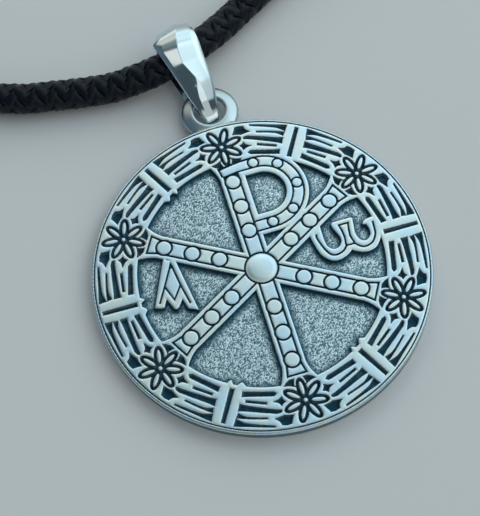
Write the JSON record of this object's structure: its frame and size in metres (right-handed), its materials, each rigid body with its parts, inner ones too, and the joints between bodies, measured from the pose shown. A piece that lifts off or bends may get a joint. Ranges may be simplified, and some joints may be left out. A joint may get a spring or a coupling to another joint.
{
  "type": "chi-rho pendant",
  "caption": "Round cast silver pendant with a chi-rho in a flowered wreath, hung by a folded bail on a closed loop of braided cord.",
  "frame": {"origin": "centre of the medallion's flat back, on the surface that it lies on", "axes": "+Z out of the medallion's face, +Y from its centre to the middle of the top flower and the hanging ring, +X to the right of the face"},
  "size_m": [0.165, 0.1993, 0.0049],
  "materials": {
    "patinated_silver": "darkened cast silver with polished high places",
    "polished_silver": "polished silver",
    "braided_cord": "round black braid"
  },
  "bodies": {
    "root": {"medallion": "patinated_silver", "bail": "polished_silver", "cord": "braided_cord", "clasp": "polished_silver"}
  },
  "joints": []
}
